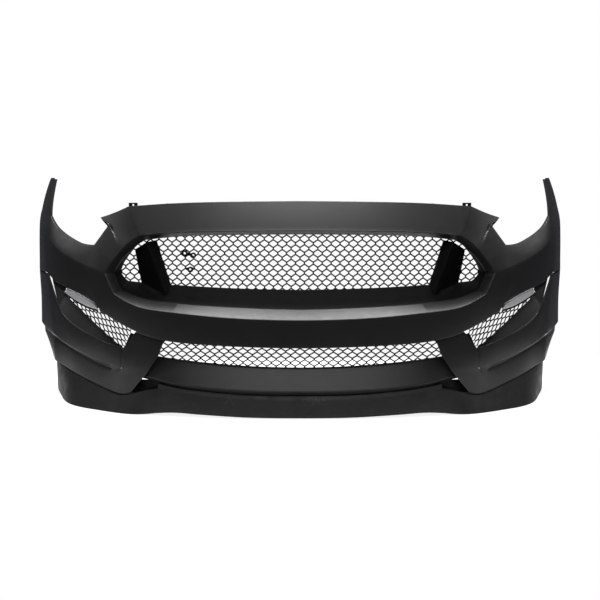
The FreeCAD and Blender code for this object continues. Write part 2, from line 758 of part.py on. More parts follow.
def badge_bracket():
    """Two small brackets with ring bosses that a badge screws onto."""
    bosses = [Vector(-366, 138, 505), Vector(-339, 138, 498), Vector(-349, 138, 453)]
    front_face = dish_y(366.0, UPPER_MESH_Y, UPPER_MESH_R)
    rings = [Part.makeCylinder(BOSS_R, BOSS_LENGTH, boss, Vector(0, 1, 0)) for boss in bosses]
    strap = prism([(-366, 510), (-366, 500), (-339, 493), (-339, 503)], 146, 149.5)
    ears = prism([(-364, 459), (-364, 452), (-334, 452), (-334, 459)], 146, 149.5)
    upper = rings[0].fuse([rings[1], strap])
    lower = rings[2].fuse(ears)
    room = prism([(-400, 400), (-300, 400), (-300, 560), (-400, 560)], 100, front_face - 4.6)
    bores = columns(bosses, BOSS_BORE_R, 60.0, Vector(0, 1, 0))
    return Part.Compound([bracket.common(room).cut(bores) for bracket in (upper, lower)])


def duct_point(along, z, gap=0.0):
    """Point on the duct mesh's plane, or in front of it by gap."""
    return DUCT_CORNER + DUCT_ALONG * along + DUCT_NORMAL * gap + Vector(0, 0, z)


def duct_plate(corners, depth):
    """Prism on the duct mesh's plane, running back from it."""
    loop = [duct_point(a, z) for a, z in corners]
    return Part.Face(Part.makePolygon(loop + [loop[0]])).extrude(DUCT_NORMAL * -depth)


def duct_mesh():
    """Flat expanded mesh at the back of the side duct."""
    sheet = [(-26, 268), (-18, 238), (14, 184), (60, 190), (335, 330), (348, 392), (290, 392),
             (120, 352), (40, 300)]
    region = [(a * 0.97 + 4, 275 + (z - 275) * 0.95) for a, z in sheet]
    blank = duct_plate(sheet, MESH_T)
    holes = []
    for corners in cells(region, *DUCT_LATTICE):
        hole = duct_plate(corners, 20.0)
        hole.translate(DUCT_NORMAL * 10.0)
        holes.append(hole)
    return blank.cut(Part.Compound(holes))


def duct_patches():
    """Floor, end wall and inner wall of the side duct, from the panel's flange to the mesh."""
    mouth = rail(at((526, 108, 251), (545, 113, 226), (566, 122, 200.5)), 3)
    floor_front = rail(at((566, 122, 200.5), (602, 138, 210), (670, 172, 232), (744, 219, 262),
                          (784, 250, 289), (806, 270, 318)), 7)
    back = [duct_point(-10, 254, DUCT_GAP), duct_point(8, 226, DUCT_GAP), duct_point(26, 199, DUCT_GAP)]
    floor_back = rail([duct_point(26, 199, DUCT_GAP), duct_point(110, 238, DUCT_GAP),
                       duct_point(220, 296, DUCT_GAP), duct_point(320, 350, DUCT_GAP)], 7)
    wall_front = rail([floor_front[-1]] + at((819, 284, 352), (829, 296, 388), (838, 308, 416)), 4)
    wall_back = rail([floor_back[-1]] + at((812, 326, 375), (824, 330, 398), (832, 333, 418)), 4)
    return [[floor_front, floor_back], [mouth, back], [wall_front, wall_back]]


def duct_housing():
    """Moulded liner of the side duct."""
    return thick_sheet(duct_patches(), DUCT_T, Vector(0, 0, -1))


def lens_rails():
    """Top and bottom edge of the lamp strip's lens."""
    top = rail(at((658, 144, 342), (704, 169, 363.5), (764, 210, 383.5)), 5)
    bottom = rail(at((647, 138, 330), (668, 149, 332), (718, 178, 349), (769, 215, 373)), 5)
    return top, bottom


def lamp_lens():
    """Ribbed lens of the lamp strip."""
    return thick_sheet([list(lens_rails())], LENS_T)


def lamp_housing():
    """Tray that closes the lamp strip behind its lens."""
    top, bottom = lens_rails()
    floor_front = moved(bottom, Vector(0, 5, -1))
    floor_back = moved(bottom, Vector(0, 30, 3))
    roof_back = moved(top, Vector(0, 30, 3))
    roof_front = moved(top, Vector(0, 5, -1.5))
    chin = moved(bottom, Vector(0, 12, -12))
    patches = [[floor_front, floor_back], [floor_back, roof_back], [roof_back, roof_front],
               [chin, floor_front]]
    return thick_sheet(patches, TRAY_T, Vector(0, 0, 1))


def lamp_bezel():
    """Blank panel that closes the duct outboard of the lens."""
    top = rail(at((768, 213, 386), (790, 232, 392), (812, 254, 399), (826, 270, 406)), 4)
    bottom = rail(at((773, 218, 374), (793, 236, 383), (814, 257, 391), (824, 270, 398)), 4)
    return thick_sheet([[top, bottom], [bottom, moved(bottom, Vector(0, 16, 2))],
                        [top, moved(top, Vector(0, 20, 3))]], BRACKET_T)


def lamp_reflector():
    """Board with the light sources, in the middle of the lamp tray."""
    top, bottom = lens_rails()
    return thick_sheet([[moved(top, Vector(0, 18, -6)), moved(bottom, Vector(0, 18, 4))]],
                       TRAY_T)


def fender_bracket():
    """Strip behind the seam that clips onto the fender."""
    rear = [side(y - 4, z, 20) for y, z in ((430, 715), (455, 690), (488, 640), (505, 612))]
    lead = [side(y - 34, z - 8, 20) for y, z in ((430, 715), (455, 690), (488, 640), (505, 612))]
    return thick_sheet([[lead, rear]], BRACKET_T, Vector(-1, 0, 0))


def hood_tabs():
    """Upright tabs behind the corners of the hood edge, each with a bolt hole."""
    tabs = []
    for x in (-TAB_X, TAB_X):
        tab = Part.makeBox(*TAB_SIZE, Vector(x - TAB_SIZE[0] / 2, TAB_Y, TAB_Z))
        hole = Vector(x, TAB_Y, TAB_Z + TAB_SIZE[2] / 2)
        tabs.append(tab.cut(columns([hole], TAB_HOLE_R, 20.0, Vector(0, 1, 0))))
    return Part.Compound(tabs)


def retainer_sleeves():
    """Barrels of the push-pin retainers, with their collars on the hood flange."""
    sleeves = []
    for spot in RETAINERS:
        top = spot.z + 1.6
        barrel = Part.makeCylinder(BARREL_R, 16, Vector(spot.x, spot.y, top - 14))
        collar = Part.makeCylinder(COLLAR_R, 2, Vector(spot.x, spot.y, top))
        sleeves.append(barrel.fuse(collar).cut(columns([spot], PIN_BORE_R, 80.0)))
    return Part.Compound(sleeves)


def retainer_pin(spot):
    """Centre pin of one retainer."""
    top = spot.z + 3.9
    shaft = Part.makeCylinder(PIN_R, 20, Vector(spot.x, spot.y, top - 19))
    head = Part.makeCylinder(PIN_HEAD_R, 2.5, Vector(spot.x, spot.y, top))
    return shaft.fuse(head)


def export_pair(node, shape):
    """Write the left part (+X) and its mirror image."""
    export(node + "_left", shape)
    export(node + "_right", shape.mirror(Vector(0, 0, 0), Vector(1, 0, 0)))


def main():
    os.makedirs("parts", exist_ok=True)
    export("bumper_skin", bumper_skin())
    export("upper_grille_housing", upper_grille_housing())
    export("upper_grille_mesh", upper_grille_mesh())
    export("mesh_rivets", mesh_rivets())
    export("badge_bracket", badge_bracket())
    export("lower_grille_mesh", lower_grille_mesh())
    export("lower_grille_frame", lower_grille_frame())
    export("lower_valance", lower_valance())
    export("chin_lip", chin_lip())
    export("lip_screws", lip_screws())
    export("lip_nuts", lip_nuts())
    export("hood_tabs", hood_tabs())
    export("retainer_sleeves", retainer_sleeves())
    for number, spot in enumerate(RETAINERS, 1):
        export("retainer_pin_%d" % number, retainer_pin(spot))
    export_pair("grille_blade", grille_blade())
    export_pair("corner_panel", corner_panel())
    export_pair("duct_mesh", duct_mesh())
    export_pair("duct_housing", duct_housing())
    export_pair("lamp_lens", lamp_lens())
    export_pair("lamp_housing", lamp_housing())
    export_pair("lamp_bezel", lamp_bezel())
    export_pair("lamp_reflector", lamp_reflector())
    export_pair("fender_bracket", fender_bracket())


main()
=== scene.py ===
import bpy
import bmesh
import math
from functools import lru_cache
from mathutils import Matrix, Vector


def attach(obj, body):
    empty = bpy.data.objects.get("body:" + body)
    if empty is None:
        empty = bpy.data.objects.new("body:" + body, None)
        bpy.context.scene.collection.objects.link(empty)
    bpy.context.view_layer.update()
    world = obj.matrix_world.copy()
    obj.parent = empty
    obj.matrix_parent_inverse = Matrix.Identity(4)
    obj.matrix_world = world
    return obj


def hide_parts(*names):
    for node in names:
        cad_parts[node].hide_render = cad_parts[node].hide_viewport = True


# Looks of the front bumper cover. Lengths are millimetres in the part's own design frame (nose at
# y = 0); metres() takes them to the shared row frame. The outlines repeat those of part.py, apart
# from the lip's two hidden flanges, the raised beads and the step of the corner panel.
HALF_WIDTH = 950.0
SHOULDER_Z = 490.0
TAPER_ABOVE = 8.8e-4
TAPER_BELOW = 2.7e-4
SIDE_RUN = 625.0
NOSE_Y = 15.0
PLAN_POWER = 2.5
MID_Y = 283.5
SKIN = 3.5
FLANGE = 22.0
CROWN = 3.0
PANEL_T = 3.0
GROOVE_DEPTH = 8.0
VALANCE_T = 3.0
LIP_T = 4.0
DUCT_T = 2.0
HOUSING_T = 2.2
LENS_T = 2.5
LIP_GAP = 1.2
LIP_STEP_X = 495.0
# These two hidden flanges of the lip reach further back than in part.py (32 and 24 there).
LIP_STEP_DEPTH = 50.0
LIP_SHELF = 46.0
LIP_RISE = 43.0
VALANCE_END_X = 528.0
DUCT_GAP = 2.4
MESH_GAP = 0.6
LOWER_MESH_GAP = 0.8
WINDOW_CORE_X = 470.0
WINDOW_CORE_Z = 474.0

MESH_T = 2.6
UPPER_MESH_Y = 145.0
UPPER_MESH_R = 3000.0
UPPER_LATTICE = (28.3, 15.5, 6.0, 4.4)
LOWER_MESH_Y = 80.0
LOWER_MESH_R = 2500.0
LOWER_LATTICE = (30.0, 12.0, 3.2, 4.2)
DUCT_LATTICE = (32.0, 11.5, 6.0, 4.2, 38.0)
RIM = 38.0

SAMPLES = 5
EDGE_R = 2.2
RIM_R = 0.9
WIRE_R = 0.7
BEAD = 3.2
BEAD_RUN_OUT = 80.0
ARM_STEP = (3.0, 6.0, 0.0)
DUCT_FLANGE = (0.0, 14.0, 0.0)
CAD_EDGE_R = 0.4

# Camera of the main view: place in metres, pitch in degrees from straight down.
CAMERA_PLACE = (0.0, -2.7835, 0.68)
CAMERA_PITCH = 83.0

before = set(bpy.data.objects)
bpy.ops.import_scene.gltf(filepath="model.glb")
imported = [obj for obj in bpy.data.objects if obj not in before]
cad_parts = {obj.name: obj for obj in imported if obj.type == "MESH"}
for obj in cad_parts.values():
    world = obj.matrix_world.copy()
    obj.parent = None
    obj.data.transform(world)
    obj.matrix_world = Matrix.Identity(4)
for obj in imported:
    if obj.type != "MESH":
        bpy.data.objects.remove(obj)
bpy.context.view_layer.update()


def vec(x, y, z):
    """Vector from three numbers."""
    return Vector((x, y, z))


def metres(p):
    """Design point in millimetres as a point of the row frame."""
    return Vector((p.x, p.y - MID_Y, p.z)) / 1000.0


def half_width(z):
    """Half width of the envelope at height z."""
    taper = TAPER_ABOVE if z > SHOULDER_Z else TAPER_BELOW
    return HALF_WIDTH - taper * (z - SHOULDER_Z) ** 2


def inward(x, y, z):
    """Unit normal of the envelope's plan, pointing into the car."""
    across = (x / half_width(z)) ** (PLAN_POWER - 1.0) / half_width(z)
    along = max(1.0 - (y - NOSE_Y) / SIDE_RUN, 0.0) ** (PLAN_POWER - 1.0) / SIDE_RUN
    return vec(-across, along, 0).normalized()


def side(y, z, inset=0.0):
    """Point of the envelope at a given y and height, moved inwards by inset."""
    share = (1.0 - (y - NOSE_Y) / SIDE_RUN) ** PLAN_POWER
    x = half_width(z) * (1.0 - share) ** (1.0 / PLAN_POWER)
    return vec(x, y, z) + inward(x, y, z) * inset


def rail(points, count):
    """Evenly spaced points on a smooth curve through the given ones."""
    spans = [(b - a).length for a, b in zip(points, points[1:])]
    chords = [(b - a) / s for a, b, s in zip(points, points[1:], spans)]
    slopes = [(chords[i - 1] * spans[i] + chords[i] * spans[i - 1]) / (spans[i - 1] + spans[i])
              for i in range(1, len(chords))]
    first = chords[0] * 1.5 - slopes[0] * 0.5 if slopes else chords[0]
    last = chords[-1] * 1.5 - slopes[-1] * 0.5 if slopes else chords[-1]
    slopes = [first] + slopes + [last]
    fine = []
    for i, span in enumerate(spans):
        for step in range(24):
            fine.append(hermite(points[i], slopes[i] * span, points[i + 1], slopes[i + 1] * span,
                                step / 24.0))
    fine.append(points[-1])
    return resampled(fine, count)


def hermite(a, slope_a, b, slope_b, t):
    """Point of a cubic between a and b."""
    return (a * (2 * t ** 3 - 3 * t ** 2 + 1) + slope_a * (t ** 3 - 2 * t ** 2 + t)
            + b * (3 * t ** 2 - 2 * t ** 3) + slope_b * (t ** 3 - t ** 2))


def resampled(points, count):
    """The same curve as a number of evenly spaced points."""
    lengths = [0.0]
    for a, b in zip(points, points[1:]):
        lengths.append(lengths[-1] + (b - a).length)
    even = [points[0].copy()]
    at_span = 0
    for k in range(1, count - 1):
        goal = lengths[-1] * k / (count - 1)
        while lengths[at_span + 1] < goal:
            at_span += 1
        share = (goal - lengths[at_span]) / (lengths[at_span + 1] - lengths[at_span])
        even.append(points[at_span].lerp(points[at_span + 1], share))
    even.append(points[-1].copy())
    return even


def chain(*rails):
    """Several rails end to end, without repeating the points where they meet."""
    joined = list(rails[0])
    for piece in rails[1:]:
        joined += piece[1:]
    return joined


def blend(rail_a, rail_b, share, bulge=0.0):
    """Rail between two others, pushed out of the envelope by bulge."""
    rows = []
    for a, b in zip(rail_a, rail_b):
        middle = a + (b - a) * share
        rows.append(middle - inward(middle.x, middle.y, middle.z) * bulge)
    return rows


def at(*points):
    """Vectors from plain coordinates."""
    return [vec(*p) for p in points]


def moved(points, vector):
    """The same points moved by one vector."""
    return [p + vector for p in points]


def tucked(points, vector):
    """The same points moved, with the sideways part fading out at the middle of the car."""
    return [p + vec(vector.x * min(p.x / 100.0, 1.0), vector.y, vector.z) for p in points]


def mirrored(patch):
    """Patch on the other side of the car."""
    return [[vec(-p.x, p.y, p.z) for p in row] for row in patch]


BAR_FLANGE = vec(0, 15, 0)
REAR_FLANGE = vec(-14, 0, 0)
LAMP_EDGE = at((634, 128, 320), (647, 133, 349), (701, 162, 370), (762, 204, 389), (808, 245, 402),
               (851, 291, 431))
HEADLIGHT_EDGE = at((657, 156, 530), (671, 162, 525), (697, 177, 529), (721, 192, 539),
                    (776, 236, 565), (814, 274, 591), (834, 300, 620))
CREASE = at((677, 141, 461), (731, 174, 480), (789, 219, 508), (837, 269, 543), (858, 302, 553))


def surround_outer():
    """Outer edge of the upper grille's surround, sector by sector, from the middle outwards."""
    return {
        "top": rail(at((500, 121, 563), (407, 113, 575), (217, 96, 580), (0, 90, 582)), 7),
        "bend": rail(at((500, 121, 563), (527, 122, 551), (545, 119, 535)), 4),
        "corner": rail(at((545, 119, 535), (564, 117, 514)), 3),
        "cheek": rail(at((564, 117, 514), (591, 112, 481)), 4),
        "tip": rail(at((591, 112, 481), (614, 110, 445)), 3),
        "heel": rail(at((614, 110, 445), (600, 103, 413), (584, 97, 380)), 4),
        "base": rail(at((584, 97, 380), (546, 83, 352), (394, 44, 329), (200, 20, 313),
                        (0, 15, 308)), 9),
    }


def surround_inner():
    """Inner edge of the surround, where the opening of the upper grille begins."""
    return {
        "top": rail(at((490, 142, 547), (410, 135, 558), (277, 119, 564), (0, 110, 567)), 7),
        "bend": rail(at((490, 142, 547), (512, 142, 536), (530, 141, 520)), 4),
        "corner": rail(at((530, 141, 520), (557, 139, 494)), 3),
        "cheek": rail(at((557, 139, 494), (576, 137, 470)), 4),
        "tip": rail(at((576, 137, 470), (593, 134, 441)), 3),
        "heel": rail(at((593, 134, 441), (583, 135, 409), (567, 131, 386)), 4),
        "base": rail(at((567, 131, 386), (522, 115, 366), (394, 84, 353), (218, 61, 343),
                        (0, 55, 336)), 9),
    }


def outline():
    """Outer boundary of the bridge, the beak and the middle bar, with the same sectors."""
    return {
        "top": rail(at((544, 167, 654), (428, 151, 663), (188, 131, 669), (0, 130, 671)), 7),
        "bend": rail(at((544, 167, 654), (593, 180, 632), (645, 204, 617)), 4),
        "corner": rail(at((645, 204, 617), (608, 167, 598)), 3),
        "cheek": rail(at((608, 167, 598), (632, 160, 564), (657, 156, 530)), 4),
        "tip": rail(at((657, 156, 530), (677, 141, 461)), 3),
        "heel": rail(at((677, 141, 461), (672, 136, 400), (650, 132, 352), (634, 128, 320)), 4),
        "base": rail(at((634, 128, 320), (604, 115, 304), (522, 85, 261), (454, 67, 241),
                        (278, 37, 227), (0, 25, 219)), 9),
    }


def ring_patches():
    """Bridge, beak, surround and middle bar of one side."""
    outer = surround_outer()
    inner = surround_inner()
    edge = outline()
    patches = []
    for sector in outer:
        patches.append([outer[sector], blend(outer[sector], edge[sector], 0.5, CROWN), edge[sector]])
        patches.append([inner[sector], outer[sector]])
        patches.append([inner[sector], moved(inner[sector], vec(0, FLANGE, 0))])
    drop = moved(edge["top"], vec(0, 6, -8))
    patches += [[edge["top"], drop], [drop, moved(drop, vec(0, 28, 0))]]
    patches.append([edge["cheek"], moved(edge["cheek"], vec(0, 25, 0))])
    patches.append([edge["base"], moved(edge["base"], BAR_FLANGE)])
    return patches


def shoulder_patches():
    """Side of the skin, from the surround to the fender seam, the horn and the wheel arch."""
    edge = outline()
    headlight = rail(HEADLIGHT_EDGE, 7)
    crease = rail(CREASE, 7)
    lamp = rail(LAMP_EDGE, 7)
    belt = [headlight[-1], vec(836, 345, 634), vec(876, 420, 644), side(488, 640)]
    belt[1], belt[2] = side(350, 626, 8), side(420, 634, 2)
    crease_rear = [crease[-1], side(365, 572), side(435, 592), side(505, 612)]
    bottom_rear = [lamp[-1], side(370, 431), side(450, 431), side(533, 431)]
    tip = [vec(822, 330, 742), vec(836, 352, 745), vec(848, 375, 747), side(398, 748)]
    upper_front = [headlight, blend(headlight, crease, 0.5, 4.0), crease]
    upper_front[1][0] = edge["tip"][1]
    lower_front = [crease, blend(crease, lamp, 0.33, 3.0), blend(crease, lamp, 0.67, 2.0), lamp]
    lower_front[1][0], lower_front[2][0] = edge["heel"][1], edge["heel"][2]
    upper_rear = [belt, blend(belt, crease_rear, 0.5, 3.0), crease_rear]
    upper_rear[1][0] = upper_front[1][-1]
    lower_rear = [crease_rear, [lower_front[1][-1], side(370, 525), side(460, 545), side(555, 555)],
                  [lower_front[2][-1], side(380, 480), side(480, 490), side(590, 500)], bottom_rear]
    horn = [tip, blend(tip, belt, 0.35), blend(tip, belt, 0.7), belt]
    horn[1][-1], horn[2][-1] = side(430, 715), side(463, 676)
    horn[1][0], horn[2][0] = vec(829, 318, 702), vec(835, 306, 655)
    patches = [upper_front, lower_front, upper_rear, lower_rear, horn]
    patches.append([headlight, moved(headlight, vec(0, 25, 0))])
    patches.append([lamp, moved(lamp, BAR_FLANGE)])
    patches.append([bottom_rear, moved(bottom_rear, REAR_FLANGE)])
    for patch in (upper_rear, lower_rear, horn):
        rear = [row[-1] for row in patch]
        patches.append([rear, moved(rear, REAR_FLANGE)])
    horn_edge = [row[0] for row in horn]
    patches.append([horn_edge, moved(horn_edge, vec(-2, 18, 0))])
    return patches


def dish_y(x, front_y, radius):
    """Front face of a grille bent to a radius about a vertical axis."""
    return front_y + radius - math.sqrt(radius ** 2 - x ** 2)


def upper_opening():
    """Edge of the upper mesh's window, sector by sector, as x and z."""
    def edge(*points):
        return [vec(x, dish_y(x, UPPER_MESH_Y, UPPER_MESH_R) - MESH_GAP, z) for x, z in points]
    return {
        "top": rail(edge((502, 544), (410, 556), (277, 561), (0, 564)), 7),
        "bend": rail(edge((502, 544), (520, 533), (534, 519)), 4),
        "corner": rail(edge((534, 519), (554, 494)), 3),
        "cheek": rail(edge((554, 494), (571, 470)), 4),
        "tip": rail(edge((571, 470), (582, 443)), 3),
        "heel": rail(edge((582, 443), (574, 424), (556, 412)), 4),
        "base": rail(edge((556, 412), (500, 406), (414, 402), (250, 394), (0, 388)), 9),
    }


def grown(points, distance):
    """Points of the upper window moved outwards from its long middle line."""
    moved_out = []
    for p in points:
        core = max(min(p.x, WINDOW_CORE_X), -WINDOW_CORE_X)
        away = vec(p.x - core, 0, p.z - WINDOW_CORE_Z)
        away.normalize()
        x, z = p.x + away.x * distance, p.z + away.z * distance
        moved_out.append(vec(x, dish_y(x, UPPER_MESH_Y, UPPER_MESH_R) - MESH_GAP, z))
    return moved_out


def window_loop(distance):
    """The upper window's outline grown by a distance, all round, as x and z."""
    sectors = [grown(sector, distance) for sector in upper_opening().values()]
    half = chain(sectors[0][::-1], *sectors[1:])
    return [(p.x, p.z) for p in half] + [(-p.x, p.z) for p in half[-2:0:-1]]


def height_at(points, x):
    """Height of a rail at a given x."""
    ordered = sorted(points, key=lambda p: p.x)
    for a, b in zip(ordered, ordered[1:]):
        if a.x <= x <= b.x:
            return a.z + (b.z - a.z) * (x - a.x) / (b.x - a.x)
    return ordered[-1].z


def inside(corners, x, z):
    """True when a point lies inside a polygon."""
    odd = False
    for (x1, z1), (x2, z2) in zip(corners, corners[1:] + corners[:1]):
        if (z1 > z) != (z2 > z) and x < (x2 - x1) * (z - z1) / (z2 - z1) + x1:
            odd = not odd
    return odd


def cell_corners(x, z, pitch, row, link, wire):
    """Open six-sided cell of expanded mesh, between the middles of its strands."""
    rise = row - link
    half = (pitch - wire) / 2
    slope = rise / (pitch / 2)
    top = link / 2 + rise - wire / 2 * math.hypot(1, slope)
    shoulder = top - half * slope
    return [(x + half, z + shoulder), (x, z + top), (x - half, z + shoulder),
            (x - half, z - shoulder), (x, z - top), (x + half, z - shoulder)]


def valance_rails():
    """Ledge, top edge, front ridge, under edge and under flange of the lower valance."""
    def mesh_side(x, z):
        return vec(x, dish_y(x, LOWER_MESH_Y, LOWER_MESH_R) - LOWER_MESH_GAP, z)
    top = rail(at((VALANCE_END_X, 134, 185), (500, 124, 183), (446, 104, 176), (291, 73, 161),
                  (146, 62, 152), (0, 60, 149)), 11)
    ridge = rail(at((VALANCE_END_X, 127, 128), (500, 110, 124), (465, 84, 118), (430, 64, 113),
                    (287, 33, 100), (144, 22, 92), (0, 20, 90)), 11)
    under = rail(at((VALANCE_END_X, 136, 108), (500, 119, 107), (465, 94, 101), (430, 74, 96),
                    (290, 43, 82), (146, 32, 73), (0, 30, 72)), 11)
    ledge = [mesh_side(p.x, p.z + 1) for p in top]
    rim = [mesh_side(p.x, p.z - 18) for p in top]
    return rim, ledge, top, ridge, under, tucked(under, vec(-6, 45, 2))


def valance_patches():
    """Bar, ledge and flanges of the valance, of one side."""
    rim, ledge, top, ridge, under, tail = valance_rails()
    return [[top, ridge], [ridge, under], [under, tail], [ledge, top], [rim, ledge]]


def lip_rails():
    """Top edge, bottom edge and the inner edge of the lip's foot."""
    top = rail(at((868, 450, 128), (848, 352, 119), (808, 294, 110), (738, 224, 92),
                  (662, 171, 72), (590, 133, 49), (550, 113, 49), (505, 82, 74), (440, 60, 83),
                  (288, 33, 70), (145, 22, 62), (0, 20, 60)), 20)
    bottom = rail(at((876, 452, 14), (860, 400, 3), (829, 333, 0), (783, 225, 0), (748, 182, 0),
                     (660, 128, 0), (524, 64, 0), (478, 57, 1), (440, 49, 12), (338, 29, 11),
                     (158, 8, 5), (0, 5, 4)), 20)
    foot = rail(at((826, 452, 14), (812, 400, 3), (778, 345, 0), (728, 262, 0), (690, 222, 0),
                   (622, 180, 0), (505, 122, 0), (465, 112, 1), (425, 106, 12), (330, 88, 11),
                   (158, 70, 5), (0, 67, 4)), 20)
    for p in bottom + foot:
        p.z = max(p.z, 0.0)
    return top, bottom, foot


def wall_top(p, under):
    """Top of the lip's rear wall over a point of its shelf, clear of the valance above."""
    top = p.z + LIP_RISE
    if p.x < VALANCE_END_X + 10.0:
        top = min(top, height_at(under, p.x) - 2 * LIP_GAP)
    return vec(p.x, p.y, top)


def lip_patches():
    """Face, foot and upper flanges of the lip, of one side.

    In the middle the flange steps up under the valance; further out it stands up behind the
    corner panel, so that no light comes through.
    """
    top, bottom, foot = lip_rails()
    waist = blend(top, bottom, 0.5, 2.0)
    start = sum(1 for p in top if p.x > LIP_STEP_X)
    under = valance_rails()[4]
    inner, outer = top[start:], top[:start + 1]
    step = [vec(p.x, p.y + 8, height_at(under, p.x) - LIP_GAP) for p in inner]
    shelf = [p + inward(p.x, p.y, p.z) * LIP_SHELF for p in outer]
    return [[row[:start + 1] for row in (top, waist, bottom)],
            [row[start:] for row in (top, waist, bottom)],
            [bottom[:start + 1], foot[:start + 1]], [bottom[start:], foot[start:]],
            [inner, step], [step, moved(step, vec(0, LIP_STEP_DEPTH, 0))],
            [outer, shelf], [shelf, [wall_top(p, under) for p in shelf]]]


def corner_patches():
    """L shaped panel round the side duct: pillar, stepped arm and the side up to the arch."""
    shelf = rail(at((424, 72, 236.5), (454, 80, 239), (490, 88, 246.5), (521, 97, 257.5)), 4)
    elbow = rail(at((443, 73, 189), (500, 88, 192), (564, 106, 204)), 4)
    waist = rail(at((472, 80, 146), (520, 95, 142), (571, 112, 140)), 4)
    step = rail(at((487, 86, 125), (540, 103, 119), (588, 124, 116)), 4)
    toe = rail(at((538, 106, 65), (558, 113, 55), (585, 127, 54)), 4)
    duct = rail(at((564, 106, 204), (602, 122, 214), (670, 156, 236), (744, 203, 266),
                   (784, 234, 293), (808, 256, 322), (825, 272, 369), (845, 289, 421)), 9)
    upper_line = rail(at((571, 112, 140), (639, 144, 153), (730, 200, 181), (800, 262, 202),
                         (840, 305, 221)), 9)
    lower_line = rail(at((588, 124, 116), (643, 155, 128), (696, 187, 146), (754, 229, 167),
                         (797, 270, 181), (841, 311, 192)), 9)
    hem = rail(at((585, 127, 54), (662, 165, 78), (738, 218, 98), (808, 289, 115),
                  (842, 320, 124)), 9)
    shoulder = [duct[-1], side(370, 427), side(450, 429), side(531, 429)]
    belt = [upper_line[-1], side(365, 229, 4), side(420, 233, 0), side(475, 237, -12)]
    groove = [lower_line[-1], side(370, 197, 8), side(425, 201, 4), side(478, 204, -6)]
    sill = [hem[-1], side(375, 127, 8), side(432, 129, 6), side(488, 130, 4)]
    arm = [duct, blend(duct, upper_line, 0.5, 3.0), upper_line]
    flank = [shoulder, blend(shoulder, belt, 0.5, 3.0), belt]
    flank[1][0] = arm[1][-1]
    flank[1][-1] = side(480, 325)
    knee = [elbow, blend(elbow, waist, 0.5, 1.0), waist]
    knee[1][-1] = arm[1][0]
    shin = blend(waist, step, 0.5)
    valley = blend(upper_line, lower_line, 0.4, -GROOVE_DEPTH)
    valley[0] = shin[-1]
    trough = blend(belt, groove, 0.5, -0.6 * GROOVE_DEPTH)
    trough[0] = valley[-1]
    front_parts = [[shelf, elbow], knee, [waist, shin], [shin, step], [step, toe]]
    rear_parts = [flank, [belt, trough], [trough, groove], [groove, sill]]
    patches = front_parts + [arm, [upper_line, valley], [valley, lower_line], [lower_line, hem]]
    patches += rear_parts
    patches.append([duct, moved(duct, vec(0, 14, 0))])
    patches.append([shelf, moved(shelf, vec(0, 24, 0))])
    patches.append([hem, moved(hem, vec(-3, 12, 0))])
    patches.append([toe, moved(toe, vec(-3, 12, 0))])
    patches.append([sill, moved(sill, REAR_FLANGE)])
    patches.append([shoulder, moved(shoulder, REAR_FLANGE)])
    for patch in rear_parts:
        rear = [row[-1] for row in patch]
        patches.append([rear, moved(rear, REAR_FLANGE)])
    for patch in front_parts:
        lead = [row[0] for row in patch]
        patches.append([lead, moved(lead, vec(3, 6, 0))])
    return patches


def blade_patches():
    """Folded blade in front of the upper mesh."""
    heel = rail(at((533, 188, 514), (523, 187, 455), (513, 182, 408)), 4)
    ridge = rail(at((484, 133, 541), (453, 127, 455), (424, 121, 376)), 4)
    toe = rail(at((458, 168, 546), (434, 162, 470), (412, 157, 401)), 4)
    return [[heel, ridge], [ridge, toe]]


def lens_rails():
    """Top and bottom edge of the lamp strip's lens."""
    top = rail(at((658, 144, 342), (704, 169, 363.5), (764, 210, 383.5)), 5)
    bottom = rail(at((647, 138, 330), (668, 149, 332), (718, 178, 349), (769, 215, 373)), 5)
    return top, bottom


DUCT_CORNER = vec(545, 125, 0)
DUCT_ALONG = vec(0.782, 0.623, 0)
DUCT_NORMAL = vec(0.623, -0.782, 0)


def duct_point(along, z, gap=0.0):
    """Point on the duct mesh's plane, or in front of it by gap."""
    return DUCT_CORNER + DUCT_ALONG * along + DUCT_NORMAL * gap + vec(0, 0, z)


def duct_patches():
    """Floor, end wall and inner wall of the side duct, from the panel's flange to the mesh."""
    mouth = rail(at((526, 108, 251), (545, 113, 226), (566, 122, 200.5)), 3)
    floor_front = rail(at((566, 122, 200.5), (602, 138, 210), (670, 172, 232), (744, 219, 262),
                          (784, 250, 289), (806, 270, 318)), 7)
    back = [duct_point(-10, 254, DUCT_GAP), duct_point(8, 226, DUCT_GAP), duct_point(26, 199, DUCT_GAP)]
    floor_back = rail([duct_point(26, 199, DUCT_GAP), duct_point(110, 238, DUCT_GAP),
                       duct_point(220, 296, DUCT_GAP), duct_point(320, 350, DUCT_GAP)], 7)
    wall_front = rail([floor_front[-1]] + at((819, 284, 352), (829, 296, 388), (838, 308, 416)), 4)
    wall_back = rail([floor_back[-1]] + at((812, 326, 375), (824, 330, 398), (832, 333, 418)), 4)
    return [[floor_front, floor_back], [mouth, back], [wall_front, wall_back]]


@lru_cache(maxsize=None)
def weights(count):
    """Share of every pole in each sample of a clamped uniform spline."""
    samples = (count - 1) * SAMPLES + 1 if count > 2 else 2
    degree = min(3, count - 1)
    spans = count - degree
    knots = [0] * degree + list(range(spans + 1)) + [spans] * degree
    rows = []
    for step in range(samples):
        t = min(spans * step / (samples - 1), spans - 1e-9)
        share = [1.0 if knots[i] <= t < knots[i + 1] else 0.0 for i in range(len(knots) - 1)]
        for d in range(1, degree + 1):
            for i in range(len(knots) - 1 - d):
                left = knots[i + d] - knots[i]
                right = knots[i + d + 1] - knots[i + 1]
                low = (t - knots[i]) / left * share[i] if left else 0.0
                high = (knots[i + d + 1] - t) / right * share[i + 1] if right else 0.0
                share[i] = low + high
        rows.append(tuple(share[:count]))
    return rows


